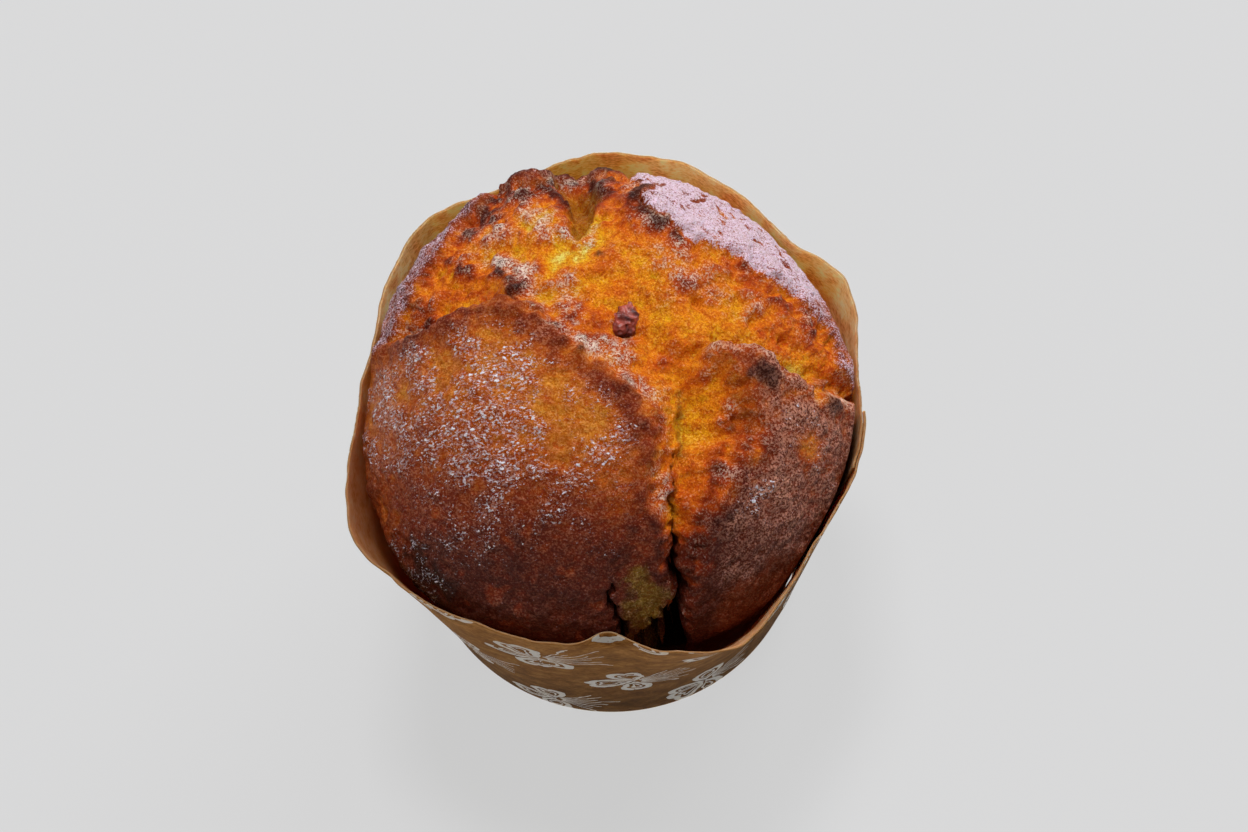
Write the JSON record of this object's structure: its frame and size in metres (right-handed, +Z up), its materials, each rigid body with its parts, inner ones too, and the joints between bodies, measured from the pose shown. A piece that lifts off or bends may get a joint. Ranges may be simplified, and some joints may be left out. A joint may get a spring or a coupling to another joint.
{
  "type": "muffin",
  "caption": "Domed muffin with a cracked golden-brown crust, baked in a free-standing kraft paper case printed with pale flowers.",
  "frame": {"origin": "centre of the underside of the paper case's base, on the surface it stands on", "axes": "+Z up through the muffin, -Y the front, where the long crack opens, +X to the right seen from the front"},
  "size_m": [0.0616, 0.0647, 0.0636],
  "materials": {
    "printed_kraft_paper": "matte, greaseproof brown kraft with pale printed flowers",
    "kraft_paper": "matte, greaseproof brown kraft",
    "baked_crust": "satin, sugary baked crust over a golden crumb",
    "dried_fruit": "satin, wrinkled"
  },
  "bodies": {
    "root": {"case_wall": "printed_kraft_paper", "case_base": "kraft_paper", "muffin": "baked_crust", "dried_fruit_piece": "dried_fruit"}
  },
  "joints": []
}
